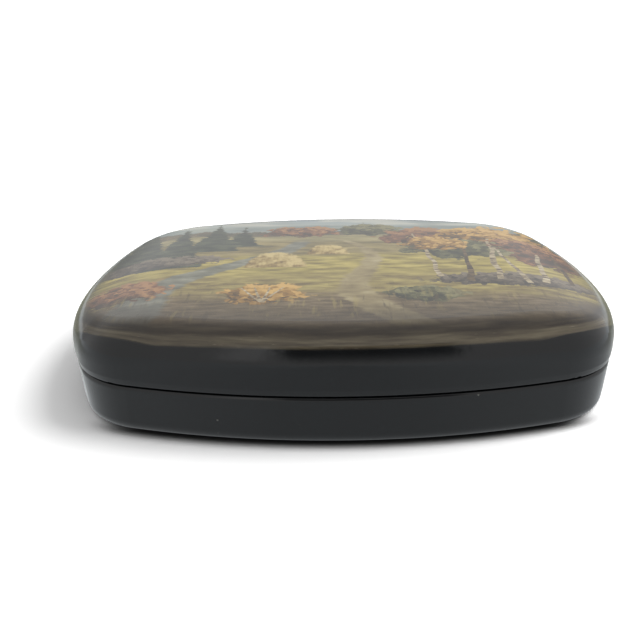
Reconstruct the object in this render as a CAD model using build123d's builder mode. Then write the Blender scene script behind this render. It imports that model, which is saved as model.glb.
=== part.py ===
"""Lacquered papier-mâché box with a hinged, crowned lid.

Millimetres, +Z up. The origin is the middle of the underside, the front is at -Y and the
hinge is at the back, at +Y. Base and lid are rings wound from pasted paper, closed by a
pressed bottom and a pressed top. A wire hinge is let into the two back walls.
"""

import os
from math import asin, atan, atan2, cos, degrees, radians, sin, sqrt, tan

from build123d import *

os.makedirs("parts", exist_ok=True)

# Plan: a rectangle whose four sides bow outwards and whose corners are rounded
box_width = 160.0
box_depth = 120.0
front_radius = 198.0
side_radius = 94.0
corner_radius = 23.0

# Heights and slopes of the outside
base_height = 13.75
seam_gap = 0.25
lid_flare_height = 1.8
lid_height = 17.1
shoulder_radius = 10.0
lid_draft = 0.4
base_draft = 1.4
foot_radius = 3.3
base_lip_radius = 1.2
lid_lip_radius = 0.6

# Crown of the top: nearly flat along the middle, rolling down at both ends
crown_roll = 34.0
crown_middle_radius = 2400.0
crown_end_radius = 80.0
crown_depth_radius = 3000.0
crown_overrun = 1.0

# Wall thicknesses and the collar that locates the lid
wall = 4.0
bottom_thickness = 4.0
panel_thickness = 3.6
collar_thickness = 1.4
collar_stand = 2.6
collar_rounding = 0.45
glue_gap = 0.05
lid_clearance = 0.4

# Hinge
hinge_length = 38.0
hinge_inset = 1.2
knuckle_count = 5
knuckle_diameter = 3.0
knuckle_gap = 0.3
pin_diameter = 1.3
pin_play = 0.04
leaf_thickness = 0.7
leaf_depth = 6.4
leaf_corner = 1.2
slot_play = 0.1
barrel_play = 0.35
open_angle = 100.0
bevel_play = 2.0
leaf_pin_count = 3
leaf_pin_diameter = 1.4
leaf_pin_spacing = 12.0
leaf_pin_play = 0.03
leaf_pin_bite = 0.8

# Levels
lid_foot = base_height + seam_gap
widest_z = lid_foot + lid_flare_height
lid_top = lid_foot + lid_height
hinge_z = base_height + seam_gap / 2
hinge_y = box_depth / 2 - lid_draft - hinge_inset

# Insets of the walls from the widest plan
inner_inset = lid_draft + wall
lid_inner_inset = inner_inset - lid_clearance
collar_inset = inner_inset + glue_gap
cavity_inset = collar_inset + collar_thickness
base_wall_height = base_height - bottom_thickness
base_slope = degrees(atan(base_draft / base_height))
lid_slope = degrees(atan(lid_draft / lid_flare_height))
seat_inset = lid_draft + base_draft * base_wall_height / base_height


# Centres of the arcs that meet in the right front corner of the plan
front_centre = Vector(0, front_radius - box_depth / 2)
side_centre = Vector(box_width / 2 - side_radius, 0)
centre_line = side_centre - front_centre
front_reach = front_radius - corner_radius
side_reach = side_radius - corner_radius
along = (front_reach**2 - side_reach**2 + centre_line.length**2) / (2 * centre_line.length)
across = sqrt(front_reach**2 - along**2)
line_angle = atan2(centre_line.Y, centre_line.X)
corner_centre = front_centre + Vector(along, across).rotate(Axis.Z, degrees(line_angle))
front_turn = degrees(atan2(corner_centre.Y - front_centre.Y, corner_centre.X - front_centre.X))
side_turn = degrees(atan2(corner_centre.Y - side_centre.Y, corner_centre.X - side_centre.X))


def plan(inset):
    """The outline of the box, drawn in by inset all round."""
    with BuildSketch() as outline:
        with BuildLine():
            front = CenterArc(front_centre, front_radius - inset, -180 - front_turn, 180 + 2 * front_turn)
            side = CenterArc(side_centre, side_radius - inset, side_turn, -2 * side_turn)
            corner = CenterArc(corner_centre, corner_radius - inset, front_turn, side_turn - front_turn)
            back_corner = mirror(corner, about=Plane.XZ)
            mirror(front, about=Plane.XZ)
            mirror([side, corner, back_corner], about=Plane.YZ)
        make_face()
    return outline.sketch


def under_crown(depth):
    """All that lies below the crowned surface of the top, or below a surface depth beneath it.

    The side to side profile, nearly flat in the middle and rolling down at both ends, is turned
    about a line far below the box, which crowns it a little from front to back as well.
    """
    turn = asin((box_width / 2 - crown_roll) / crown_middle_radius)
    roll_x = (crown_middle_radius - crown_end_radius) * sin(turn)
    roll_rise = (crown_middle_radius - crown_end_radius) * cos(turn) - crown_middle_radius
    roll_reach = box_width / 2 + crown_overrun - roll_x
    roll = asin(roll_reach / (crown_end_radius - panel_thickness))
    swing = asin((box_depth / 2 + crown_overrun) / (crown_depth_radius - lid_height))
    axis = Axis((0, 0, lid_top - crown_depth_radius), (-1, 0, 0))
    start = Plane(origin=axis.position, x_dir=(1, 0, 0), z_dir=(0, -cos(swing), -sin(swing)))
    with BuildPart() as dome:
        with BuildSketch(start):
            with BuildLine():
                middle = CenterArc(
                    (0, crown_depth_radius - crown_middle_radius),
                    crown_middle_radius - depth,
                    90 - degrees(turn),
                    2 * degrees(turn),
                )
                right_end = CenterArc(
                    (roll_x, crown_depth_radius + roll_rise),
                    crown_end_radius - depth,
                    90 - degrees(roll),
                    degrees(roll - turn),
                )
                left_end = mirror(right_end, about=Plane.YZ)
                low = crown_depth_radius - lid_height - wall
                far = (right_end @ 0).X
                Polyline(right_end @ 0, (far, low), (-far, low), left_end @ 0)
            make_face()
        revolve(axis=axis, revolution_arc=2 * degrees(swing))
    return dome.part


lid_plan = plan(0)
seam_plan = plan(lid_draft)
seat_plan = plan(seat_inset)
inner_plan = plan(inner_inset)
lid_inner_plan = plan(lid_inner_inset)
collar_plan = plan(collar_inset)
cavity_plan = plan(cavity_inset)

# Knuckles: the odd ones belong to the base, the even ones to the lid
knuckle_length = (hinge_length - (knuckle_count - 1) * knuckle_gap) / knuckle_count
knuckle_pitch = knuckle_length + knuckle_gap
knuckle_centres = [(i - (knuckle_count - 1) / 2) * knuckle_pitch for i in range(knuckle_count)]
base_knuckles = knuckle_centres[0::2]
lid_knuckles = knuckle_centres[1::2]
knuckle_radius = knuckle_diameter / 2
leaf_y = hinge_y - knuckle_radius + leaf_thickness / 2
leaf_neck = knuckle_radius + barrel_play
leaf_pin_drop = (leaf_neck + leaf_depth) / 2
hinge_plane = Plane(origin=(0, hinge_y, hinge_z), x_dir=(0, 1, 0), z_dir=(1, 0, 0))


def hinge_bed(side):
    """What is cut from a wall for the hinge: barrel groove, leaf slot, pin holes and bevel.

    side is -1 for the base, below the hinge line, and +1 for the lid, above it.
    """
    bevel = radians(open_angle / 2 + bevel_play)
    reach = hinge_inset + lid_draft + knuckle_diameter
    with BuildPart() as bed:
        with BuildSketch(hinge_plane):
            Circle(knuckle_radius + barrel_play)
        extrude(amount=hinge_length / 2 + barrel_play, both=True)
        with BuildSketch(hinge_plane):
            with BuildLine():
                Polyline((0, 0), (reach, 0), (reach, side * reach * tan(bevel)), close=True)
            make_face()
        extrude(amount=box_width / 2, both=True)
        slot_depth = leaf_depth + slot_play
        with Locations((0, leaf_y, hinge_z + side * slot_depth / 2)):
            Box(hinge_length + 2 * barrel_play, leaf_thickness + 2 * slot_play, slot_depth)
        with BuildSketch(Plane.XZ.offset(-(leaf_y + leaf_thickness / 2 + leaf_pin_bite))):
            with Locations((0, hinge_z + side * leaf_pin_drop)):
                with GridLocations(leaf_pin_spacing, 0, leaf_pin_count, 1):
                    Circle(leaf_pin_diameter / 2 + leaf_pin_play)
        extrude(amount=2 * wall)
    return bed.part


def hinge_leaf(side, knuckles):
    """A flat leaf with its rolled knuckles. side is -1 for the base and +1 for the lid."""
    with BuildPart() as leaf:
        plate_height = leaf_depth - leaf_neck
        with BuildSketch(Plane.XZ.offset(-(leaf_y + leaf_thickness / 2))):
            with Locations((0, hinge_z + side * (leaf_neck + plate_height / 2))):
                Rectangle(hinge_length, plate_height)
        extrude(amount=leaf_thickness)
        far_edges = leaf.edges().filter_by(Axis.Y).sort_by(Axis.Z)
        fillet(far_edges[:2] if side < 0 else far_edges[-2:], leaf_corner)
        with Locations(*[(x, leaf_y, hinge_z + side * leaf_neck / 2) for x in knuckles]):
            Box(knuckle_length, leaf_thickness, leaf_neck)
        with Locations(*[hinge_plane.offset(x) for x in knuckles]):
            Cylinder(knuckle_radius, knuckle_length)
        with Locations(hinge_plane):
            Cylinder(pin_diameter / 2 + pin_play, 2 * hinge_length, mode=Mode.SUBTRACT)
        with BuildSketch(Plane.XZ.offset(-(leaf_y + leaf_thickness))):
            with Locations((0, hinge_z + side * leaf_pin_drop)):
                with GridLocations(leaf_pin_spacing, 0, leaf_pin_count, 1):
                    Circle(leaf_pin_diameter / 2 + leaf_pin_play)
        extrude(amount=2 * leaf_thickness, mode=Mode.SUBTRACT)
    return leaf.part


def leaf_pins(side, trim_plan):
    """Pins from the inside of a back wall through its leaf, flush with the wall inside."""
    with BuildPart() as pins:
        with BuildSketch(Plane.XZ.offset(-(leaf_y + leaf_thickness / 2 + leaf_pin_bite))):
            with Locations((0, hinge_z + side * leaf_pin_drop)):
                with GridLocations(leaf_pin_spacing, 0, leaf_pin_count, 1):
                    Circle(leaf_pin_diameter / 2)
        extrude(amount=2 * wall)
        with BuildSketch():
            add(trim_plan)
        extrude(amount=lid_top, mode=Mode.SUBTRACT)
    return pins.part


# Pressed bottom that the box stands on, with a rounded edge
with BuildPart() as base_bottom:
    with BuildSketch(Plane.XY.offset(bottom_thickness)):
        add(seat_plan)
    extrude(amount=-bottom_thickness, taper=base_slope)
    fillet(base_bottom.faces().sort_by(Axis.Z)[0].edges(), foot_radius)

# Wound ring of the base, drawn in towards the foot, its top edge rounded outside
with BuildPart() as base_wall:
    with BuildSketch(Plane.XY.offset(base_height)):
        add(seam_plan)
    extrude(amount=-base_wall_height, taper=base_slope)
    fillet(base_wall.faces().sort_by(Axis.Z)[-1].edges(), base_lip_radius)
    with BuildSketch(Plane.XY.offset(bottom_thickness)):
        add(inner_plan)
    extrude(amount=base_wall_height, mode=Mode.SUBTRACT)
    add(hinge_bed(-1), mode=Mode.SUBTRACT)

# Strip glued inside the base, standing proud to locate the lid
with BuildPart() as base_collar:
    with BuildSketch(Plane.XY.offset(bottom_thickness)):
        add(collar_plan)
        add(cavity_plan, mode=Mode.SUBTRACT)
    extrude(amount=base_wall_height + collar_stand)
    rim = base_collar.faces().sort_by(Axis.Z)[-1]
    fillet(rim.edges(), collar_rounding)

# Whole form of the lid, before it is divided: drawn in below, crowned and round-shouldered
with BuildPart() as lid_form:
    with BuildSketch(Plane.XY.offset(widest_z)):
        add(lid_plan)
    extrude(amount=-lid_flare_height, taper=lid_slope)
    fillet(lid_form.faces().sort_by(Axis.Z)[0].edges(), lid_lip_radius)
    extrude(lid_form.faces().sort_by(Axis.Z)[-1], amount=lid_top - widest_z)
    add(under_crown(0), mode=Mode.INTERSECT)
    fillet(lid_form.faces().sort_by(Axis.Z)[-1].edges(), shoulder_radius)

# Pressed board of even thickness that makes the crowned top
with BuildPart() as lid_panel:
    add(lid_form.part)
    add(under_crown(panel_thickness), mode=Mode.SUBTRACT)

# Wound ring of the lid, its upper edge cut to the underside of the crowned top
with BuildPart() as lid_wall:
    add(lid_form.part)
    add(under_crown(panel_thickness), mode=Mode.INTERSECT)
    with BuildSketch(Plane.XY.offset(lid_foot)):
        add(lid_inner_plan)
    extrude(amount=lid_height, mode=Mode.SUBTRACT)
    add(hinge_bed(1), mode=Mode.SUBTRACT)

# Hinge: two leaves, the wire through their knuckles and the small pins that hold them
hinge_base_leaf = hinge_leaf(-1, base_knuckles)
hinge_lid_leaf = hinge_leaf(1, lid_knuckles)

with BuildPart() as hinge_pin:
    with Locations(hinge_plane):
        Cylinder(pin_diameter / 2, hinge_length)

pieces = {
    "base_bottom": base_bottom.part,
    "base_wall": base_wall.part,
    "base_collar": base_collar.part,
    "lid_wall": lid_wall.part,
    "lid_panel": lid_panel.part,
    "hinge_base_leaf": hinge_base_leaf,
    "hinge_lid_leaf": hinge_lid_leaf,
    "hinge_pin": hinge_pin.part,
    "base_leaf_pins": leaf_pins(-1, inner_plan),
    "lid_leaf_pins": leaf_pins(1, lid_inner_plan),
}
for name, piece in pieces.items():
    piece.label = name
    export_step(piece, f"parts/{name}.step")
    print(name, round(piece.volume, 1))
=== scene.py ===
# %% [markdown]
# # A lacquered papier-mâché box with a painted lid
# The box is two shallow shells of pasted paper, hardened in oil, lacquered black outside and red inside, and
# joined by a small wire hinge. The CAD model already has every piece at its true size and place, so this
# lesson dresses it: it makes the lacquers, paints a picture on the lid, and sets up the table, the light and
# the camera.

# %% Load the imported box
from math import cos, radians, sin

import bpy
from mathutils import Matrix, Vector


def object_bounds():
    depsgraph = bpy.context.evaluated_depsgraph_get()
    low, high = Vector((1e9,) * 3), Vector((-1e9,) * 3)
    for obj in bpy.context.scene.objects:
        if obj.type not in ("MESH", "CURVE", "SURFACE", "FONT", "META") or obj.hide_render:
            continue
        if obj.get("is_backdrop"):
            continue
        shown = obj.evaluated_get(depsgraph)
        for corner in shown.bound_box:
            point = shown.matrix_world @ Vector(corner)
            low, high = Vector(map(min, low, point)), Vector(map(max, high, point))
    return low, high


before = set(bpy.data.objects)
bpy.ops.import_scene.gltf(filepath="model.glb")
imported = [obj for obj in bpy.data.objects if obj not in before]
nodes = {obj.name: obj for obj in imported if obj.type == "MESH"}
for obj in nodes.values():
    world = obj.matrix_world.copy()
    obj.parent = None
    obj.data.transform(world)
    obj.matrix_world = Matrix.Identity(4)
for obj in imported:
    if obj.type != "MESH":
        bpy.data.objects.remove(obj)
cad_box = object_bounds()
print("pieces:", sorted(nodes))
print("box in mm:", [[round(1000 * value, 2) for value in corner] for corner in cad_box])

# %% [markdown]
# Colours are written as they would be picked from a swatch, in sRGB hex, and Blender computes in linear
# light, so one function turns the first into the second. Another small one adds a shader node with its
# settings and links. It keeps the recipes below readable as lists of steps, where the other way is to drag
# nodes together by hand. Settings that come back in nearly every recipe get a name here.

# %% Two helpers for the finishes
times = {"operation": "MULTIPLY"}
plus = {"operation": "ADD"}
minus = {"operation": "SUBTRACT"}
times_plus = {"operation": "MULTIPLY_ADD"}
unsigned = {"operation": "ABSOLUTE"}
larger_of = {"operation": "MAXIMUM"}
is_above = {"operation": "GREATER_THAN"}
is_below = {"operation": "LESS_THAN"}
eased = {"interpolation_type": "SMOOTHSTEP"}
of_colours = {"data_type": "RGBA"}


def linear(swatch):
    """The linear colour of an sRGB hex swatch such as "#1a1a1c"."""
    parts = [int(swatch[i : i + 2], 16) / 255 for i in (1, 3, 5)]
    return [p / 12.92 if p <= 0.04045 else ((p + 0.055) / 1.055) ** 2.4 for p in parts] + [1.0]


def add(tree, kind, settings=(), inputs=(), stops=()):
    """Adds a node. Inputs are given by name or number: a socket is linked, anything else is a value."""
    made = tree.nodes.new(kind)
    for name, value in dict(settings).items():
        setattr(made, name, value)
    for name, value in dict(inputs).items():
        if isinstance(value, bpy.types.NodeSocket):
            tree.links.new(value, made.inputs[name])
        else:
            made.inputs[name].default_value = linear(value) if isinstance(value, str) else value
    for number, (place, swatch) in enumerate(stops):
        ramp = made.color_ramp.elements
        stop = ramp[number] if number < 2 else ramp.new(place)
        stop.position = place
        stop.color = linear(swatch)
    return made


print("black swatch in linear light:", [round(part, 4) for part in linear("#101113")])

# %% [markdown]
# The camera stands where the photographer's lens was: close to the box and a hand's breadth above it, so the
# near edge looks much wider than the far one. Its place was found by laying the outline and the parting line
# of the box over the photograph until they met. A camera could also be aimed by eye, but a few pixels then
# stay wrong.

# %% Camera
image_width = 640.0
sensor_width = 36.0
focal_pixels = 874.5
centre_pixel = (325.0, 313.9)
aim = Vector((-0.00513, 0.0, 0.01368))
distance = 0.2723
turn, lift, roll = radians(-0.28), radians(20.66), radians(-0.65)
nearest_seen = 0.01

stand = aim + distance * Vector((sin(turn) * cos(lift), -cos(turn) * cos(lift), sin(lift)))
ahead = (aim - stand).normalized()
level = ahead.cross(Vector((0, 0, 1))).normalized()
upward = level.cross(ahead)
right = cos(roll) * level + sin(roll) * upward
up = cos(roll) * upward - sin(roll) * level
lens = bpy.data.cameras.new("camera")
lens.sensor_width = sensor_width
lens.lens = focal_pixels * sensor_width / image_width
lens.shift_x = (image_width / 2 - centre_pixel[0]) / image_width
lens.shift_y = (centre_pixel[1] - image_width / 2) / image_width
lens.clip_start = nearest_seen
camera = bpy.data.objects.new("camera", lens)
camera.matrix_world = Matrix.Translation(stand) @ Matrix((right, up, -ahead)).transposed().to_4x4()
bpy.context.scene.collection.objects.link(camera)
bpy.context.scene.camera = camera
bpy.context.scene.view_settings.view_transform = "Standard"
print("lens in mm:", round(lens.lens, 1), "camera at:", [round(part, 3) for part in stand])

# %% [markdown]
# The box was photographed in plain white surroundings. They light it like a sky that is brightest overhead,
# which fills the shadows softly, and the polish mirrors them a little below white. Large lamps would also do,
# but the world needs no placing and lights a floor of any size evenly.

# %% White surroundings
sky_at_horizon, sky_overhead = 0.04, 0.68
sky_in_polish = 0.78

world = bpy.data.worlds.new("white_surroundings")
bpy.context.scene.world = world
world.use_nodes = True
tree = world.node_tree
tree.nodes.clear()
ray = add(tree, "ShaderNodeLightPath").outputs
way = add(tree, "ShaderNodeSeparateXYZ", {}, {0: add(tree, "ShaderNodeTexCoord").outputs["Generated"]})
daily = add(
    tree,
    "ShaderNodeMapRange",
    {},
    {"Value": way.outputs[2], "To Min": sky_at_horizon, "To Max": sky_overhead},
)
mirrored = add(tree, "ShaderNodeMath", larger_of, {0: ray["Is Glossy Ray"], 1: ray["Is Transmission Ray"]})
strength = add(tree, "ShaderNodeMix", {}, {0: mirrored.outputs[0], 2: daily.outputs[0], 3: sky_in_polish})
strength = add(tree, "ShaderNodeMath", larger_of, {0: strength.outputs[0], 1: ray["Is Camera Ray"]})
white = add(tree, "ShaderNodeBackground", {}, {"Color": "#ffffff", "Strength": strength.outputs[0]})
add(tree, "ShaderNodeOutputWorld", {}, {"Surface": white.outputs[0]})
print("sky overhead:", sky_overhead, "sky in the polish:", sky_in_polish)

# %% [markdown]
# Daylight from the right lays a short soft shadow to the left of the box. A sun gives that, and the wider it
# is, the softer the shadow's edge. The polish doesn't show it, because a round sun would leave a spot there
# that window light doesn't.

# %% Daylight from the right
sun_strength = 2.3
sun_turn, sun_lift, sun_spread = radians(14), radians(46), radians(46)

sun = bpy.data.lights.new("daylight", "SUN")
sun.energy = sun_strength
sun.angle = sun_spread
daylight = bpy.data.objects.new("daylight", sun)
towards_sun = Vector((cos(sun_turn) * cos(sun_lift), sin(sun_turn) * cos(sun_lift), sin(sun_lift)))
daylight.rotation_euler = towards_sun.to_track_quat("Z", "Y").to_euler()
daylight.visible_glossy = False
bpy.context.scene.collection.objects.link(daylight)
print("towards the sun:", [round(part, 2) for part in towards_sun])

# %% [markdown]
# The sheet under the box is matt white paper. To the eye it is bright enough to meet the surroundings without
# a seam, and to everything else it is ordinary paper. Along the two long sides the foot curves in over the
# sheet, and there a dark line of contact shade is painted into the sheet's colour, darker where the place is
# more closed in. A harder sun would also darken it, but its shadow would lie on one side only.

# %% White sheet
sheet_side = 40.0
sheet_to_eye, sheet_to_light = 1.45, 0.88
contact_reach = 0.005
contact_starts, contact_full = 0.041, 0.05
contact_darkest = 0.03
closed_in, open_to_sky = 0.4, 1.0

bpy.ops.object.select_all(action="DESELECT")
bpy.ops.mesh.primitive_plane_add(size=sheet_side, location=(0, 0, 0))
sheet = bpy.context.object
sheet.name = "white_sheet"
paper = bpy.data.materials.new("matt_white_paper")
paper.use_nodes = True
tree = paper.node_tree
tree.nodes.clear()
ray = add(tree, "ShaderNodeLightPath").outputs
albedo = add(
    tree,
    "ShaderNodeMapRange",
    {},
    {"Value": ray["Is Camera Ray"], "To Min": sheet_to_light, "To Max": sheet_to_eye},
)
place = add(tree, "ShaderNodeSeparateXYZ", {}, {0: add(tree, "ShaderNodeTexCoord").outputs["Object"]}).outputs
crevice = add(tree, "ShaderNodeAmbientOcclusion", {"samples": 8}, {"Distance": contact_reach}).outputs["AO"]
from_middle = add(tree, "ShaderNodeMath", unsigned, {0: place[1]})
darkest = add(
    tree,
    "ShaderNodeMapRange",
    eased,
    {
        "Value": from_middle.outputs[0],
        "From Min": contact_starts,
        "From Max": contact_full,
        "To Min": 1.0,
        "To Max": contact_darkest,
    },
)
# Painted contact shade: the sheet's colour darkens where it is closed in under the foot, along the long sides
# only.
painted_contact_shade = add(
    tree,
    "ShaderNodeMapRange",
    eased,
    {"Value": crevice, "From Min": closed_in, "From Max": open_to_sky, "To Min": darkest.outputs[0]},
)
albedo = add(tree, "ShaderNodeMath", times, {0: albedo.outputs[0], 1: painted_contact_shade.outputs[0]})
matt = add(tree, "ShaderNodeBsdfDiffuse", {}, {"Color": albedo.outputs[0]})
print("floor in m:", [round(side, 2) for side in sheet.dimensions])

# %% [markdown]
# Lacquer shows the sheet at a low angle, and that is most of what the eye sees of its black sides. There the
# sheet is a little darker in the middle, where whoever stands at the camera takes some of its light, and in
# shade beside and behind the box. This is painted by place on the sheet, and only the polish shows it. Grey
# papers laid round the box would do the same in a studio.

# %% The sheet as the polish shows it
middle_reach = 0.12
sheet_in_polish = [(0.15, "#cbd0d3"), (0.75, "#e2e7ea")]
shade_tone = "#999b90"
shade_starts, shade_full = -0.055, 0.06
shade_thins, shade_gone = 0.13, 0.3
shade_side, shade_side_gone = 1.25, 1.9
under_box_darkest, under_box_ends = 0.12, 0.55

aside = add(tree, "ShaderNodeMath", unsigned, {0: place[0]})
aside = add(tree, "ShaderNodeMath", times, {0: aside.outputs[0], 1: 1 / middle_reach}).outputs[0]
sheet_tone = add(tree, "ShaderNodeValToRGB", {}, {0: aside}, sheet_in_polish)
behind = add(
    tree, "ShaderNodeMapRange", eased, {"Value": place[1], "From Min": shade_starts, "From Max": shade_full}
)
ends_of_shade = [
    (place[1], shade_thins, shade_gone),
    (aside, shade_side, shade_side_gone),
]
for measure, starts, gone in ends_of_shade:
    thinning = add(
        tree,
        "ShaderNodeMapRange",
        eased,
        {"Value": measure, "From Min": starts, "From Max": gone, "To Min": 1.0, "To Max": 0.0},
    )
    behind = add(tree, "ShaderNodeMath", times, {0: behind.outputs[0], 1: thinning.outputs[0]})
sheet_tone = add(
    tree, "ShaderNodeMix", of_colours, {0: behind.outputs[0], 6: sheet_tone.outputs[0], 7: shade_tone}
)
# Painted shade in the polish: the mirrored sheet is darker where it is closed in under the box.
painted_shade_under_box = add(
    tree,
    "ShaderNodeMapRange",
    {},
    {"Value": crevice, "From Max": under_box_ends, "To Min": under_box_darkest},
)
mirrored = add(
    tree, "ShaderNodeEmission", {}, {"Color": sheet_tone.outputs[2], "Strength": painted_shade_under_box.outputs[0]}
)
both = add(
    tree, "ShaderNodeMixShader", {}, {0: ray["Is Glossy Ray"], 1: matt.outputs[0], 2: mirrored.outputs[0]}
)
add(tree, "ShaderNodeOutputMaterial", {}, {"Surface": both.outputs[0]})
sheet.data.materials.append(paper)
sheet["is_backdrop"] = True
print("sheet painted, nodes in it:", len(tree.nodes))

# %% [markdown]
# Polished lacquer mirrors whatever stands around it. Something dark behind the lens shows as a black streak
# on the lid's shoulder, and the dim end of the room keeps the lid's drooping ends dark. Soft-edged cards give
# the same. They are hidden from the eye and light nothing.

# %% Cards that only the polish shows


def card(name, distance, turn, lift, size, soft, brightness):
    """A card that faces the box from a turn and lift in degrees. Soft is the faded share of each side."""
    bpy.ops.object.select_all(action="DESELECT")
    bpy.ops.mesh.primitive_plane_add(size=1.0)
    made = bpy.context.object
    made.name = name
    made.scale = (size[0], size[1], 1)
    turn = radians(turn)
    lift = radians(lift)
    made.rotation_euler = (radians(90) - lift, 0, turn)
    made.location = distance * Vector((sin(turn) * cos(lift), -cos(turn) * cos(lift), sin(lift)))
    bpy.ops.object.transform_apply(location=True, rotation=True, scale=True)
    made.visible_camera = False
    made.visible_diffuse = False
    made.visible_shadow = False
    felt = bpy.data.materials.new(name)
    felt.use_nodes = True
    tree = felt.node_tree
    tree.nodes.clear()
    share = add(tree, "ShaderNodeSeparateXYZ", {}, {0: add(tree, "ShaderNodeTexCoord").outputs["UV"]}).outputs
    fades = [
        (share[0], 0, soft[0]),
        (share[0], 1, 1 - soft[1]),
        (share[1], 0, soft[2]),
        (share[1], 1, 1 - soft[3]),
    ]
    cover = 1.0
    for measure, start, end in fades:
        fade = add(tree, "ShaderNodeMapRange", eased, {"Value": measure, "From Min": start, "From Max": end})
        cover = add(tree, "ShaderNodeMath", times, {0: fade.outputs[0], 1: cover}).outputs[0]
    plain = add(tree, "ShaderNodeEmission", {}, {"Color": "#ffffff", "Strength": brightness})
    clear = add(tree, "ShaderNodeBsdfTransparent")
    both = add(tree, "ShaderNodeMixShader", {}, {0: cover, 1: clear.outputs[0], 2: plain.outputs[0]})
    add(tree, "ShaderNodeOutputMaterial", {}, {"Surface": both.outputs[0]})
    made.data.materials.append(felt)
    made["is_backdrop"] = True
    return made


cards = [
    card("dark_card_behind_lens", 0.42, 7, 24, (0.32, 0.36), (0.14, 0.14, 0.7, 0.07), 0.1),
    card("pale_card_on_the_left", 0.5, -22, 28, (0.15, 0.45), (0.5, 0.4, 0.3, 0.3), 1.15),
    card("dim_end_of_room", 0.9, 180, 3, (1.7, 0.34), (0.35, 0.35, 0.05, 0.5), 0.25),
    card("dim_corner_of_room", 0.9, 226, 14, (0.9, 0.55), (0.4, 0.4, 0.05, 0.5), 0.4),
]
print("cards in m:", {made.name: [round(side, 2) for side in made.dimensions] for made in cards})

# %% [markdown]
# Black lacquer is brushed on in many thin coats, stoved and rubbed with fine abrasive until it mirrors. The
# eye sees a deep black that is lit only by reflections, with a slight unevenness left by the rubbing and a
# few specks of dust, drawn larger than life so that they show. Lengths are millimetres.

# %% Black lacquer on the base
rub_length = 14.0
speck_spacing = 3.0
speck_size, speck_edge = 0.05, 0.11
speck_choice = 0.92
speck_tone = "#6c6c66"
black_tones = {6: "#0a0b0c", 7: "#121416"}
red_tones = {6: "#8e1a10", 7: "#a32415"}

base_lacquer = bpy.data.materials.new("black_lacquer_red_inside")
base_lacquer.use_nodes = True
tree = base_lacquer.node_tree
tree.nodes.clear()
place = add(tree, "ShaderNodeTexCoord")
mm = add(
    tree, "ShaderNodeVectorMath", {"operation": "SCALE"}, {0: place.outputs["Object"], "Scale": 1000.0}
).outputs[0]
rub = add(tree, "ShaderNodeTexNoise", {}, {"Vector": mm, "Scale": 1 / rub_length, "Detail": 3.0}).outputs[0]
speck = add(tree, "ShaderNodeTexVoronoi", {}, {"Vector": mm, "Scale": 1 / speck_spacing})
dust = add(
    tree,
    "ShaderNodeMapRange",
    eased,
    {
        "Value": speck.outputs["Distance"],
        "From Min": speck_size,
        "From Max": speck_edge,
        "To Min": 1.0,
        "To Max": 0.0,
    },
)
lot = add(tree, "ShaderNodeSeparateColor", {}, {0: speck.outputs["Color"]})
chosen = add(tree, "ShaderNodeMath", is_above, {0: lot.outputs[0], 1: speck_choice})
dusty = add(tree, "ShaderNodeMath", times, {0: dust.outputs[0], 1: chosen.outputs[0]})
black = add(tree, "ShaderNodeMix", of_colours, {0: rub, **black_tones})
print("black lacquer, nodes so far:", len(tree.nodes))

# %% [markdown]
# Inside, the same coats are red. A face of the wall looks in where it points back towards the middle of the
# box, and the floor of the box is what faces up near the bottom, so one finish is black or red by where its
# face looks. Two materials on separate faces would also do, but the CAD meshes stay as they are.

# %% Red inside the base, and the gloss
looks_in = -20.0
faces_up = 0.9
floor_height = 5.0
lacquer_ior = 1.48
gloss_range = {"From Min": 0.3, "From Max": 0.7, "To Min": 0.07, "To Max": 0.12}
gloss_waves = {"Strength": 0.05, "Distance": 0.0006}

towards = add(tree, "ShaderNodeSeparateXYZ", {}, {0: place.outputs["Normal"]}).outputs
where = add(tree, "ShaderNodeSeparateXYZ", {}, {0: mm}).outputs
flat_place = add(tree, "ShaderNodeCombineXYZ", {}, {0: where[0], 1: where[1]})
flat_normal = add(tree, "ShaderNodeCombineXYZ", {}, {0: towards[0], 1: towards[1]})
outward = add(
    tree,
    "ShaderNodeVectorMath",
    {"operation": "DOT_PRODUCT"},
    {0: flat_place.outputs[0], 1: flat_normal.outputs[0]},
)
inner_wall = add(tree, "ShaderNodeMath", is_below, {0: outward.outputs["Value"], 1: looks_in})
facing_up = add(tree, "ShaderNodeMath", is_above, {0: towards[2], 1: faces_up})
low = add(tree, "ShaderNodeMath", is_below, {0: where[2], 1: floor_height})
floor = add(tree, "ShaderNodeMath", times, {0: facing_up.outputs[0], 1: low.outputs[0]})
inside = add(tree, "ShaderNodeMath", larger_of, {0: inner_wall.outputs[0], 1: floor.outputs[0]})
red = add(tree, "ShaderNodeMix", of_colours, {0: rub, **red_tones})
colour = add(
    tree, "ShaderNodeMix", of_colours, {0: inside.outputs[0], 6: black.outputs[2], 7: red.outputs[2]}
)
colour = add(tree, "ShaderNodeMix", of_colours, {0: dusty.outputs[0], 6: colour.outputs[2], 7: speck_tone})
rough = add(tree, "ShaderNodeMapRange", {}, {"Value": rub, **gloss_range})
wave = add(tree, "ShaderNodeBump", {}, {"Height": rub, **gloss_waves})
body = add(
    tree,
    "ShaderNodeBsdfPrincipled",
    {},
    {
        "Base Color": colour.outputs[2],
        "Roughness": rough.outputs[0],
        "IOR": lacquer_ior,
        "Normal": wave.outputs[0],
    },
)
add(tree, "ShaderNodeOutputMaterial", {}, {"Surface": body.outputs[0]})
for name in ("base_bottom", "base_wall"):
    nodes[name].material_slots[0].material = base_lacquer
print("lacquer on the base, nodes in it:", len(tree.nodes))

# %% [markdown]
# The collar that locates the lid is a thin strip glued inside the base, red all over like the inside. It is
# rubbed less than the outside, so it is a little duller.

# %% Red collar
collar_roughness = 0.12

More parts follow.
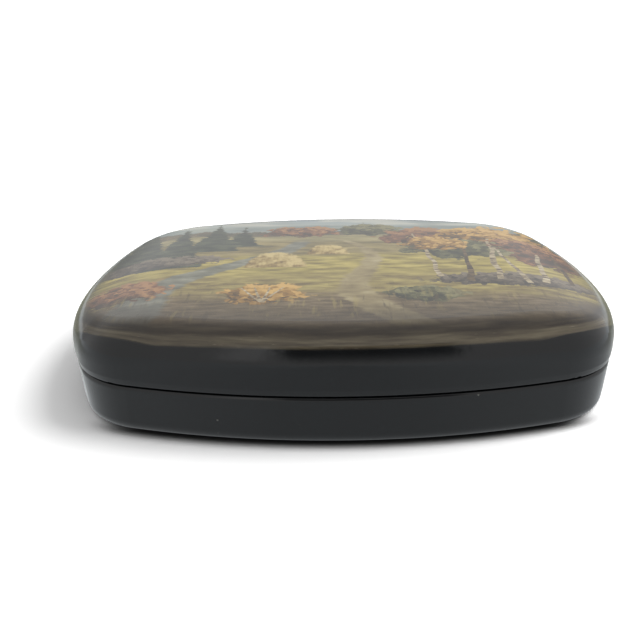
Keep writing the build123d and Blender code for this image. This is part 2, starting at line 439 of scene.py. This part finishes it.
red_lacquer = bpy.data.materials.new("red_lacquer")
red_lacquer.use_nodes = True
tree = red_lacquer.node_tree
body = tree.nodes["Principled BSDF"]
place = add(tree, "ShaderNodeTexCoord")
mottle = add(
    tree,
    "ShaderNodeTexNoise",
    {},
    {"Vector": place.outputs["Object"], "Scale": 1000 / rub_length, "Detail": 3.0},
)
red = add(tree, "ShaderNodeMix", of_colours, {0: mottle.outputs[0], **red_tones})
tree.links.new(red.outputs[2], body.inputs["Base Color"])
body.inputs["Roughness"].default_value = collar_roughness
body.inputs["IOR"].default_value = lacquer_ior
nodes["base_collar"].material_slots[0].material = red_lacquer
print("collar roughness:", collar_roughness, "nodes in it:", len(tree.nodes))

# %% [markdown]
# The hinge leaves are drawn brass and the wire and pins are steel. Drawn metal shows fine lines along its
# length, here coarser than life so that they show. Noise that is stretched along the hinge gives them, in
# colour and as a shallow groove.

# %% Brass hinge, steel wire
line_width = 0.12
lines_per_metre = 1000 / line_width
lines_run = 40
groove = {"Strength": 0.15, "Distance": 0.00005}
drawn_metals = {
    "drawn_brass": ("#8f7338", "#b5964f", 0.34, ("hinge_base_leaf", "hinge_lid_leaf")),
    "drawn_steel_wire": ("#84868a", "#b4b6b9", 0.28, ("hinge_pin", "base_leaf_pins", "lid_leaf_pins")),
}
for name, (dark, light, roughness, pieces) in drawn_metals.items():
    metal = bpy.data.materials.new(name)
    metal.use_nodes = True
    tree = metal.node_tree
    body = tree.nodes["Principled BSDF"]
    place = add(tree, "ShaderNodeTexCoord")
    along = add(
        tree,
        "ShaderNodeMapping",
        {},
        {"Vector": place.outputs["Object"], "Scale": (lines_run, lines_per_metre, lines_per_metre)},
    )
    lines = add(tree, "ShaderNodeTexNoise", {}, {"Vector": along.outputs[0], "Scale": 1.0, "Detail": 2.0})
    tone = add(tree, "ShaderNodeMix", of_colours, {0: lines.outputs[0], 6: dark, 7: light})
    grooves = add(tree, "ShaderNodeBump", {}, {"Height": lines.outputs[0], **groove})
    tree.links.new(tone.outputs[2], body.inputs["Base Color"])
    tree.links.new(grooves.outputs[0], body.inputs["Normal"])
    body.inputs["Metallic"].default_value = 1.0
    body.inputs["Roughness"].default_value = roughness
    for piece in pieces:
        nodes[piece].material_slots[0].material = metal
print("metals:", sorted(drawn_metals))

# %% [markdown]
# The lid carries a landscape in oils under clear lacquer. A painter works from the sky forward, each nearer
# thing over the farther one, and the nodes do the same: every step takes the picture so far and lays one more
# form over it. The forms are plain ones of the kind, such as hills, haystacks, spruces, a birch grove and a
# footpath, and lengths are millimetres on the lid, so a leaf dab or a grass stroke keeps its true size.

# %% Canvas: places on the lid in millimetres, and brushwork
picture = bpy.data.materials.new("oil_painting_under_clear_lacquer")
picture.use_nodes = True
tree = picture.node_tree
tree.nodes.clear()
place = add(tree, "ShaderNodeTexCoord")
mm = add(
    tree, "ShaderNodeVectorMath", {"operation": "SCALE"}, {0: place.outputs["Object"], "Scale": 1000.0}
).outputs[0]
across, depth, height = add(tree, "ShaderNodeSeparateXYZ", {}, {0: mm}).outputs
canvas = {}


def brushwork(length, stretch, seed, detail=3.0):
    """Streaks of a loaded brush, as a number about a half: length in mm, stretch times as long as deep."""
    if stretch not in canvas:
        canvas[stretch] = add(tree, "ShaderNodeVectorMath", times, {0: mm, 1: (1.0, stretch, 0.0)}).outputs[0]
    return add(
        tree,
        "ShaderNodeTexNoise",
        {"noise_dimensions": "4D"},
        {"Vector": canvas[stretch], "W": seed, "Scale": 1 / length, "Detail": detail},
    ).outputs[0]


def over(below, colour, cover):
    """Lays a colour over the picture so far, where cover is 1."""
    return add(tree, "ShaderNodeMix", of_colours, {0: cover, 6: below, 7: colour}).outputs[2]


print("canvas ready, nodes so far:", len(tree.nodes))

# %% [markdown]
# The sky comes first, as on the easel: pale and warm over the land, bluer towards the back edge of the lid,
# with long thin clouds drawn by a wide flat brush.

# %% Sky
sky_starts, sky_ends = 30.0, 58.0
sky_tones = [(0.0, "#b8b59a"), (0.35, "#adb4aa"), (1.0, "#92a3b2")]
cloud_tone = "#cfcfc2"

sky_share = add(
    tree, "ShaderNodeMapRange", {}, {"Value": depth, "From Min": sky_starts, "From Max": sky_ends}
)
air = add(tree, "ShaderNodeValToRGB", {}, {0: sky_share.outputs[0]}, sky_tones)
cloud = add(
    tree,
    "ShaderNodeMapRange",
    eased,
    {"Value": brushwork(24, 4, 3.1), "From Min": 0.45, "From Max": 0.62, "To Max": 0.85},
)
painting = over(air.outputs[0], cloud_tone, cloud.outputs[0])
print("sky painted, nodes so far:", len(tree.nodes))

# %% [markdown]
# Land comes in bands that overlap like stage flats: far woods in grey green, then fields, each with an uneven
# crest. A crest is a line of noise across the lid, and everything on the near side of it belongs to that
# band.

# %% Hills, woods and fields


def land(below, crest, swell, length, seed, soft, tones, stroke):
    """A band of land on the near side of an uneven crest, in three tones of brushwork."""
    along = add(tree, "ShaderNodeMath", times_plus, {0: across, 1: 1 / length, 2: seed})
    rise = add(
        tree,
        "ShaderNodeTexNoise",
        {"noise_dimensions": "1D"},
        {"W": along.outputs[0], "Scale": 1.0, "Detail": 5.0},
    )
    line = add(
        tree,
        "ShaderNodeMapRange",
        {},
        {"Value": rise.outputs[0], "To Min": crest - swell, "To Max": crest + swell},
    )
    near = add(tree, "ShaderNodeMath", minus, {0: line.outputs[0], 1: depth})
    cover = add(
        tree, "ShaderNodeMapRange", eased, {"Value": near.outputs[0], "From Min": -soft, "From Max": soft}
    )
    tone = add(
        tree,
        "ShaderNodeValToRGB",
        {},
        {0: brushwork(*stroke, seed, 6.0)},
        [(0.34, tones[0]), (0.5, tones[1]), (0.66, tones[2])],
    )
    return over(below, tone.outputs[0], cover.outputs[0])


bands = [
    # crest, swell, length, seed, soft, tones, stroke length and stretch: far hills first
    (41.0, 5.0, 46.0, 1.7, 1.6, ("#7d8886", "#8e9894", "#a0a69b"), (18, 4)),
    (35.0, 7.0, 12.0, 5.3, 1.0, ("#4a4b3e", "#625a48", "#7e6e50"), (5, 1)),
    (29.0, 4.0, 40.0, 8.9, 1.4, ("#7a7352", "#958b62", "#b0a478"), (16, 4)),
    (22.0, 6.0, 60.0, 2.2, 2.0, ("#62593c", "#82754a", "#a09060"), (12, 4)),
    (6.0, 8.0, 75.0, 6.4, 3.0, ("#786a3b", "#a1924d", "#c5b466"), (9, 4)),
    (-12.0, 7.0, 64.0, 3.8, 6.0, ("#6e5f3c", "#94854f", "#b3a462"), (8, 4)),
    (-30.0, 5.0, 50.0, 7.7, 6.0, ("#51442f", "#6e5e43", "#87765a"), (6, 4)),
]
for band in bands:
    painting = land(painting, *band)
print("bands of land:", len(bands), "nodes so far:", len(tree.nodes))

# %% [markdown]
# A stream comes out of the woods on the left and a footpath winds up the middle. Each is the strip within
# half its width of a wavy line, and it narrows with distance, which leads the eye into the picture.

# %% Stream and footpath
near_end = -45.0
far_fade = 5
bank_wander = 5.0


def strip(below, start, slope, waves, widths, far_end, seed, tones):
    """A winding strip of water or sand: side step per mm of depth, waves as size, pace and phase."""
    turning = add(tree, "ShaderNodeMath", times_plus, {0: depth, 1: waves[1], 2: waves[2]})
    sway = add(tree, "ShaderNodeMath", {"operation": "SINE"}, {0: turning.outputs[0]})
    middle = add(tree, "ShaderNodeMath", times_plus, {0: sway.outputs[0], 1: waves[0], 2: start})
    middle = add(tree, "ShaderNodeMath", times_plus, {0: depth, 1: slope, 2: middle.outputs[0]})
    aside = add(tree, "ShaderNodeMath", minus, {0: across, 1: middle.outputs[0]})
    aside = add(tree, "ShaderNodeMath", unsigned, {0: aside.outputs[0]})
    half_width = add(
        tree,
        "ShaderNodeMapRange",
        {},
        {"Value": depth, "From Min": near_end, "From Max": far_end, "To Min": widths[0], "To Max": widths[1]},
    )
    ragged = add(
        tree, "ShaderNodeMath", times_plus, {0: brushwork(6, 4, seed), 1: bank_wander, 2: -bank_wander / 2}
    )
    inner = add(tree, "ShaderNodeMath", minus, {0: half_width.outputs[0], 1: aside.outputs[0]})
    inner = add(tree, "ShaderNodeMath", plus, {0: inner.outputs[0], 1: ragged.outputs[0]})
    cover = add(
        tree,
        "ShaderNodeMapRange",
        eased,
        {"Value": inner.outputs[0], "From Min": -0.6, "From Max": 1.4, "To Max": 0.92},
    )
    ends = add(
        tree,
        "ShaderNodeMapRange",
        eased,
        {"Value": depth, "From Min": far_end, "From Max": far_end - far_fade},
    )
    cover = add(tree, "ShaderNodeMath", times, {0: cover.outputs[0], 1: ends.outputs[0]})
    tone = add(
        tree,
        "ShaderNodeValToRGB",
        {},
        {0: brushwork(7, 2, seed + 2, 5.0)},
        [(0.3, tones[0]), (0.52, tones[1]), (0.74, tones[2])],
    )
    return over(below, tone.outputs[0], cover.outputs[0])


water = ("#54564e", "#74766b", "#99998c")
sand = ("#7a6b4a", "#9c8d66", "#b9ac86")
painting = strip(painting, -31.0, 0.7, (6.0, 0.1, 0.4), (9.0, 3.0), 24.0, 4.6, water)
painting = strip(painting, 4.0, -0.22, (7.0, 0.085, 0.9), (6.5, 1.0), 28.0, 9.4, sand)
print("stream and footpath painted, nodes so far:", len(tree.nodes))

# %% [markdown]
# Trees, bushes and haystacks are rounded masses with ragged edges, dabbed from dark to light with the light
# on their right. One recipe does them all: a soft ellipse, roughened by noise and dabs, filled with dabs of
# three tones. Dabs are cells of a fixed size in millimetres, and hay is laid on with fine upright strokes.

# %% A mass of leaves or hay
hay_stroke = 0.8
light_from = (0.16, 0.3, 0.0)
dab_places = {}
for dab in (1.5, 2.0):
    dabs = add(tree, "ShaderNodeTexVoronoi", {"voronoi_dimensions": "2D"}, {"Vector": mm, "Scale": 1 / dab})
    dab_places[dab] = add(tree, "ShaderNodeSeparateColor", {}, {0: dabs.outputs["Color"]}).outputs[0]
dab_places[hay_stroke] = brushwork(hay_stroke, 0.2, 51.0, 2.0)


def mass(below, middle, size, ragged, dab, seed, tones, foot=-60.0):
    """A rounded mass of foliage or hay: middle, size and dab in mm, three tones, and a level foot."""
    fit = add(
        tree,
        "ShaderNodeVectorMath",
        times_plus,
        {0: mm, 1: (1 / size[0], 1 / size[1], 0.0), 2: (-middle[0] / size[0], -middle[1] / size[1], 0.0)},
    )
    far = add(tree, "ShaderNodeVectorMath", {"operation": "LENGTH"}, {0: fit.outputs[0]})
    clump = brushwork(dab * 3.4, 1, seed, 4.0)
    rough = add(tree, "ShaderNodeMath", times_plus, {0: dab_places[dab], 1: 0.22, 2: clump})
    reach = add(
        tree, "ShaderNodeMath", times_plus, {0: rough.outputs[0], 1: 2.2 * ragged, 2: 1 - 1.35 * ragged}
    )
    inside = add(tree, "ShaderNodeMath", minus, {0: reach.outputs[0], 1: far.outputs["Value"]})
    cover = add(
        tree, "ShaderNodeMapRange", eased, {"Value": inside.outputs[0], "From Min": -0.02, "From Max": 0.12}
    )
    grown = add(tree, "ShaderNodeMath", is_above, {0: depth, 1: foot})
    cover = add(tree, "ShaderNodeMath", times, {0: cover.outputs[0], 1: grown.outputs[0]})
    side = add(
        tree, "ShaderNodeVectorMath", {"operation": "DOT_PRODUCT"}, {0: fit.outputs[0], 1: light_from}
    )
    lit = add(tree, "ShaderNodeMath", times_plus, {0: clump, 1: 1.5, 2: side.outputs["Value"]})
    lit = add(tree, "ShaderNodeMath", times_plus, {0: dab_places[dab], 1: 0.5, 2: lit.outputs[0]})
    lit = add(tree, "ShaderNodeMath", minus, {0: lit.outputs[0], 1: 0.5})
    tone = add(
        tree,
        "ShaderNodeValToRGB",
        {},
        {0: lit.outputs[0]},
        [(0.18, tones[0]), (0.5, tones[1]), (0.85, tones[2])],
    )
    return over(below, tone.outputs[0], cover.outputs[0])


print("sizes of dab in mm:", sorted(dab_places))

# %% [markdown]
# Trunks and bare branches are thin tapering lines with flecks of bark, a little bent so that no two are
# parallel. Each is the strip within its half width of a leaning line, cut off at foot and top.

# %% A trunk
trunk_bend = 4.0


def trunk(below, foot, top, half_width, seed, tones):
    """A thin trunk or branch from foot to top, flecked with bark."""
    lean = (top[0] - foot[0]) / (top[1] - foot[1])
    line = add(tree, "ShaderNodeMath", times_plus, {0: depth, 1: lean, 2: foot[0] - lean * foot[1]})
    bend = add(
        tree,
        "ShaderNodeMath",
        times_plus,
        {0: brushwork(12, 1, seed, 1.0), 1: trunk_bend, 2: -trunk_bend / 2},
    )
    line = add(tree, "ShaderNodeMath", plus, {0: line.outputs[0], 1: bend.outputs[0]})
    off = add(tree, "ShaderNodeMath", minus, {0: across, 1: line.outputs[0]})
    off = add(tree, "ShaderNodeMath", unsigned, {0: off.outputs[0]})
    taper = add(
        tree,
        "ShaderNodeMapRange",
        {},
        {
            "Value": depth,
            "From Min": foot[1],
            "From Max": top[1],
            "To Min": half_width,
            "To Max": 0.3 * half_width,
        },
    )
    inner = add(tree, "ShaderNodeMath", minus, {0: taper.outputs[0], 1: off.outputs[0]})
    thin = add(
        tree, "ShaderNodeMapRange", eased, {"Value": inner.outputs[0], "From Min": -0.25, "From Max": 0.15}
    )
    between = add(
        tree,
        "ShaderNodeMath",
        {"operation": "COMPARE"},
        {0: depth, 1: (foot[1] + top[1]) / 2, 2: abs(top[1] - foot[1]) / 2},
    )
    cover = add(tree, "ShaderNodeMath", times, {0: thin.outputs[0], 1: between.outputs[0]})
    bark = add(
        tree,
        "ShaderNodeValToRGB",
        {},
        {0: brushwork(4, 4, seed + 1)},
        [(0.38, tones[0]), (0.5, tones[1]), (0.7, tones[2])],
    )
    return over(below, bark.outputs[0], cover.outputs[0])


print("bend of a trunk in mm:", trunk_bend)

# %% [markdown]
# A spruce is a wedge that stands on its foot, and ragged level strokes cut its sides into drooping tiers. The
# same strokes give its tones, so that each tier is dark below and light on top. Five of them close the left
# side of the picture, the tallest in the middle of the group.

# %% Spruces
tier_droop = 6.0


def spruce(below, middle, foot, top, half_width, seed, tones):
    """A spruce: a narrow wedge with drooping, ragged tiers."""
    off = add(tree, "ShaderNodeMath", minus, {0: across, 1: middle})
    off = add(tree, "ShaderNodeMath", unsigned, {0: off.outputs[0]})
    wedge = add(
        tree,
        "ShaderNodeMapRange",
        {},
        {"Value": depth, "From Min": foot, "From Max": top, "To Min": half_width, "To Max": -1.0},
    )
    tiers = brushwork(6, 4, seed)
    ragged = add(tree, "ShaderNodeMath", times_plus, {0: tiers, 1: tier_droop, 2: -tier_droop / 2})
    inner = add(tree, "ShaderNodeMath", minus, {0: wedge.outputs[0], 1: off.outputs[0]})
    inner = add(tree, "ShaderNodeMath", plus, {0: inner.outputs[0], 1: ragged.outputs[0]})
    grown = add(tree, "ShaderNodeMath", is_above, {0: depth, 1: foot})
    cover = add(
        tree, "ShaderNodeMapRange", eased, {"Value": inner.outputs[0], "From Min": -0.3, "From Max": 0.8}
    )
    cover = add(tree, "ShaderNodeMath", times, {0: cover.outputs[0], 1: grown.outputs[0]})
    tone = add(
        tree, "ShaderNodeValToRGB", {}, {0: tiers}, [(0.36, tones[0]), (0.52, tones[1]), (0.68, tones[2])]
    )
    return over(below, tone.outputs[0], cover.outputs[0])


needles = ("#20261f", "#3a4133", "#5c6149")
spruces = [
    # middle, foot, top, half width
    (-32, 17, 44, 7),
    (-74, 8, 46, 9),
    (-41, 12, 48, 9),
    (-64, 2, 51, 11),
    (-52, -4, 47, 10),
]
for middle, foot, top, half_width in spruces:
    painting = spruce(painting, middle, foot, top, half_width, 20 + 0.3 * middle, needles)
print("spruces:", len(spruces), "nodes so far:", len(tree.nodes))

# %% [markdown]
# Now the forms are laid in, far ones first: the leaves at the back of the grove, its trunks, the leaves in
# front of them, the haystacks, and the bushes of the foreground, one with bare branches. A list for each
# keeps the layout easy to change.

# %% Birch grove, bushes and haystacks
rust = ("#3a2a20", "#775038", "#ab7f55")
gold = ("#4e3a20", "#9a7438", "#cfa862")
olive = ("#2f3024", "#56563a", "#85805a")
dusky = ("#35312d", "#5a5045", "#7d7262")
hay = ("#5c4a2a", "#98804a", "#cbb67c")
pale_bark = ("#5a4c3c", "#a8987a", "#cfc4a6")
dark_bark = ("#33291f", "#56452f", "#7d6845")
bushes_behind = [
    # middle, size, raggedness, dab, seed, tones
    ((-58, 3), (24, 6), 0.5, 1.5, 1.1, dusky),
    ((-12, 34), (14, 7), 0.55, 1.5, 3.7, rust),
    ((10, 36), (11, 8), 0.5, 1.5, 4.1, olive),
    ((70, 27), (14, 15), 0.55, 2.0, 6.2, olive),
    ((28, 26), (15, 12), 0.55, 2.0, 5.9, rust),
    ((50, 24), (20, 16), 0.55, 2.0, 7.4, gold),
    ((66, 9), (15, 13), 0.55, 2.0, 8.8, rust),
    ((37, 13), (17, 12), 0.55, 2.0, 2.6, olive),
    ((50, -18), (27, 6), 0.5, 1.5, 9.9, dusky),
]
trunks = [
    # foot, top, half width, tones
    ((29, -16), (25, 30), 0.8, pale_bark),
    ((37, -20), (40, 24), 1.0, dark_bark),
    ((45, -18), (50, 36), 0.9, pale_bark),
    ((53, -21), (48, 18), 0.8, pale_bark),
    ((58, -19), (64, 24), 1.0, pale_bark),
    ((67, -16), (67, 26), 0.8, dark_bark),
]
bushes_before = [
    # as above, and for haystacks the level foot
    ((44, 29), (11, 8), 0.7, 1.5, 15.1, gold),
    ((59, 18), (11, 8), 0.7, 1.5, 16.3, rust),
    ((31, 18), (11, 8), 0.7, 1.5, 17.9, gold),
    ((-20, -7), (10, 17), 0.16, hay_stroke, 9.3, hay, -6.0),
    ((-4, 6), (7, 12), 0.16, hay_stroke, 10.6, hay, 6.5),
    ((-62, -22), (13, 10), 0.55, 1.5, 11.2, rust),
    ((-22, -29), (12, 8), 0.55, 1.5, 12.5, gold),
    ((22, -30), (11, 7), 0.55, 1.5, 13.1, olive),
]
branches_foot, branches_top = (-22, -36), -24
branch_reaches = (-7, -3, 2, 6)
for item in bushes_behind:
    painting = mass(painting, *item)
for number, (foot, top, half_width, tones) in enumerate(trunks):
    painting = trunk(painting, foot, top, half_width, 13.0 + number, tones)
for item in bushes_before:
    painting = mass(painting, *item)
for number, reach in enumerate(branch_reaches):
    tip = (branches_foot[0] + reach, branches_top)
    painting = trunk(painting, branches_foot, tip, 0.5, 30.0 + number, pale_bark)
print("masses:", len(bushes_behind + bushes_before), "trunks:", len(trunks), "nodes so far:", len(tree.nodes))

# %% [markdown]
# Nearest the front the grass is long, with light and dark blades in tufts, and the whole foreground is
# painted darker towards the front edge, sooner at the front corners where the lid falls away: painted shade.
# Blades are upright streaks of noise, kept only where a broader noise lets a tuft grow.

# %% Foreground grass and painted shade at the front
grass_starts, grass_full = -14.0, -34.0
blade_width = 1.6
tuft_width = 17
grasses = [(17.3, "#2f281c", 0.6), (27.9, "#a8975c", 0.45), (37.1, "#5c4d34", 0.5)]

near = add(
    tree, "ShaderNodeMapRange", eased, {"Value": depth, "From Min": grass_starts, "From Max": grass_full}
)
for seed, swatch, strength in grasses:
    strokes = brushwork(blade_width, 0.2, seed, 2.0)
    blades = add(
        tree,
        "ShaderNodeMapRange",
        eased,
        {"Value": strokes, "From Min": 0.54, "From Max": 0.7, "To Max": strength},
    )
    tufts = add(
        tree,
        "ShaderNodeMapRange",
        eased,
        {"Value": brushwork(tuft_width, 1, seed + 3, 2.0), "From Min": 0.42, "From Max": 0.6},
    )
    grass = add(tree, "ShaderNodeMath", times, {0: blades.outputs[0], 1: near.outputs[0]})
    grass = add(tree, "ShaderNodeMath", times, {0: grass.outputs[0], 1: tufts.outputs[0]})
    painting = over(painting, swatch, grass.outputs[0])

half_length = 80.0
crown_power = 4.97
front_shade_tone = "#3a3026"
front_shade_starts, front_shade_full = -32.0, -52.0

end_share = add(tree, "ShaderNodeMath", times, {0: across, 1: 1 / half_length})
end_share = add(tree, "ShaderNodeMath", unsigned, {0: end_share.outputs[0]}).outputs[0]
end_fall = add(tree, "ShaderNodeMath", {"operation": "POWER"}, {0: end_share, 1: crown_power}).outputs[0]
corner_pull = add(tree, "ShaderNodeMath", plus, {0: end_fall, 1: 1.0})
nearness = add(tree, "ShaderNodeMath", times, {0: depth, 1: corner_pull.outputs[0]})
# Painted shade: darker towards the front of the lid, and sooner at its front corners.
front_painted_shade = add(
    tree,
    "ShaderNodeMapRange",
    eased,
    {"Value": nearness.outputs[0], "From Min": front_shade_starts, "From Max": front_shade_full, "To Max": 0.7},
)
painting = over(painting, front_shade_tone, front_painted_shade.outputs[0])
print("grass painted, nodes so far:", len(tree.nodes))

# %% [markdown]
# The picture ends on the rounded shoulder of the lid, at about the same depth below its crown all round. The
# crown is level along the middle and falls away towards both ends. There the paint ends sooner, and at the
# very end a little later again, as the two factors below say. Its edge wanders, because it was laid by hand.
# A line drawn round the lid would also do, but a depth in millimetres works on panel and wall alike.

# %% Depth below the crown
crown_height, crown_fall = 31.1, 8.96
sooner_range = {"From Min": 0.58, "From Max": 0.86, "To Min": 1.05, "To Max": 2.0}
later_at_end = {"From Min": 0.84, "From Max": 0.94, "To Min": 1.0, "To Max": 0.62}
edge_wander = 0.5

crown = add(tree, "ShaderNodeMath", times_plus, {0: end_fall, 1: -crown_fall, 2: crown_height})
below_crown = add(tree, "ShaderNodeMath", minus, {0: crown.outputs[0], 1: height})
sooner = add(tree, "ShaderNodeMapRange", eased, {"Value": end_share, **sooner_range})
later = add(tree, "ShaderNodeMapRange", eased, {"Value": end_share, **later_at_end})
sooner = add(tree, "ShaderNodeMath", times, {0: sooner.outputs[0], 1: later.outputs[0]})
below_crown = add(tree, "ShaderNodeMath", times, {0: below_crown.outputs[0], 1: sooner.outputs[0]})
uneven = add(
    tree, "ShaderNodeMath", times_plus, {0: brushwork(22, 1, 21.0), 1: edge_wander, 2: -edge_wander / 2}
)
below_crown = add(tree, "ShaderNodeMath", plus, {0: below_crown.outputs[0], 1: uneven.outputs[0]}).outputs[0]
print("crown at the ends in mm:", round(crown_height - crown_fall, 2))

# %% [markdown]
# Along its edge, where the shoulder turns down, the picture is darkened to brown as painted shade. Then comes
# a paler band that is a painted reflection, with a few worn flecks on it, and then the black of the side
# begins.
# Both strips are drawn with long strokes that follow the edge. At the two ends the olive of the fields runs
# out over them instead.

# %% Painted shade, painted reflection band, worn flecks and olive ends
stroke_run = 16.0
painted_shade_tones = [(0.34, "#241d17"), (0.5, "#2f281f"), (0.66, "#40382c")]
reflection_band_tones = [(0.32, "#433b30"), (0.5, "#574f40"), (0.68, "#6a6250")]
olive_tones = [(0.32, "#54523a"), (0.5, "#66644a"), (0.68, "#7a785a")]
fleck_tone = "#9a917c"
painted_shade_strip = {"From Min": 0.1, "From Max": 1.4, "To Max": 0.93}
reflection_band_range = {"From Min": 2.2, "From Max": 3.3, "To Max": 0.95}
worn_flecks = {"From Min": 0.66, "From Max": 0.74, "To Max": 0.6}
olive_ends = {"From Min": 0.87, "From Max": 0.95, "To Max": 0.85}

lengthwise = add(tree, "ShaderNodeMath", times, {0: across, 1: 1 / stroke_run})
edge_place = add(tree, "ShaderNodeCombineXYZ", {}, {0: lengthwise.outputs[0], 1: below_crown}).outputs[0]
streak = add(tree, "ShaderNodeTexNoise", {}, {"Vector": edge_place, "Scale": 1.1, "Detail": 5.0}).outputs[0]
# Painted shade: the picture darkens along the shoulder just inside its edge.
dark = add(tree, "ShaderNodeMapRange", eased, {"Value": below_crown, **painted_shade_strip})
tone = add(tree, "ShaderNodeValToRGB", {}, {0: streak}, painted_shade_tones)
painting = over(painting, tone.outputs[0], dark.outputs[0])
# Painted reflection: a paler band on the shoulder just above the black border. The flecks on it are wear.
painted_reflection_band = add(tree, "ShaderNodeMapRange", eased, {"Value": below_crown, **reflection_band_range})
tone = add(tree, "ShaderNodeValToRGB", {}, {0: streak}, reflection_band_tones)
painting = over(painting, tone.outputs[0], painted_reflection_band.outputs[0])
fleck = add(tree, "ShaderNodeTexNoise", {}, {"Vector": edge_place, "Scale": 3.2, "Detail": 4.0})
flecks = add(tree, "ShaderNodeMapRange", eased, {"Value": fleck.outputs[0], **worn_flecks})
flecks = add(tree, "ShaderNodeMath", times, {0: flecks.outputs[0], 1: painted_reflection_band.outputs[0]})
painting = over(painting, fleck_tone, flecks.outputs[0])
ends = add(tree, "ShaderNodeMapRange", eased, {"Value": end_share, **olive_ends})
tone = add(tree, "ShaderNodeValToRGB", {}, {0: streak}, olive_tones)
painting = over(painting, tone.outputs[0], ends.outputs[0])
print("edges painted, nodes so far:", len(tree.nodes))

# %% [markdown]
# Below the picture the lid is black like the base, and inside it is red. The lid's wall takes this finish
# too, because the edge of the paint lies partly on it. The ceiling of the lid is what faces down above the
# rim, and the wall's inner faces point back towards the middle. Clear lacquer over the picture is as glossy
# as the black.

# %% Black side, red inside and clear lacquer
border_starts, border_full = 4.6, 5.4
faces_down = -0.3
rim_height = 18.0

border = add(
    tree,
    "ShaderNodeMapRange",
    eased,
    {"Value": below_crown, "From Min": border_starts, "From Max": border_full},
)
rub = add(tree, "ShaderNodeTexNoise", {}, {"Vector": mm, "Scale": 1 / rub_length, "Detail": 3.0}).outputs[0]
black = add(tree, "ShaderNodeMix", of_colours, {0: rub, **black_tones})
painting = over(painting, black.outputs[2], border.outputs[0])
towards = add(tree, "ShaderNodeSeparateXYZ", {}, {0: place.outputs["Normal"]}).outputs
facing_down = add(tree, "ShaderNodeMath", is_below, {0: towards[2], 1: faces_down})
above_rim = add(tree, "ShaderNodeMath", is_above, {0: height, 1: rim_height})
ceiling = add(tree, "ShaderNodeMath", times, {0: facing_down.outputs[0], 1: above_rim.outputs[0]})
outward = add(tree, "ShaderNodeMath", times, {0: across, 1: towards[0]})
outward = add(tree, "ShaderNodeMath", times_plus, {0: depth, 1: towards[1], 2: outward.outputs[0]})
inner_wall = add(tree, "ShaderNodeMath", is_below, {0: outward.outputs[0], 1: looks_in})
inside = add(tree, "ShaderNodeMath", larger_of, {0: inner_wall.outputs[0], 1: ceiling.outputs[0]})
red = add(tree, "ShaderNodeMix", of_colours, {0: rub, **red_tones})
painting = over(painting, red.outputs[2], inside.outputs[0])
rough = add(tree, "ShaderNodeMapRange", {}, {"Value": rub, **gloss_range})
wave = add(tree, "ShaderNodeBump", {}, {"Height": rub, **gloss_waves})
gloss = add(
    tree,
    "ShaderNodeBsdfPrincipled",
    {},
    {"Base Color": painting, "Roughness": rough.outputs[0], "IOR": lacquer_ior, "Normal": wave.outputs[0]},
)
add(tree, "ShaderNodeOutputMaterial", {}, {"Surface": gloss.outputs[0]})
for name in ("lid_panel", "lid_wall"):
    nodes[name].material_slots[0].material = picture
print("picture nodes in all:", len(tree.nodes))

# %% [markdown]
# Last, the box's size before and after dressing is printed, so that anyone can see that nothing grew.

# %% Sizes and finish
sizes = {"cad": [list(corner) for corner in cad_box], "visual": [list(corner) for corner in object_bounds()]}
for name, box in sizes.items():
    print(name, "box in mm:", [[round(1000 * part, 2) for part in corner] for corner in box])
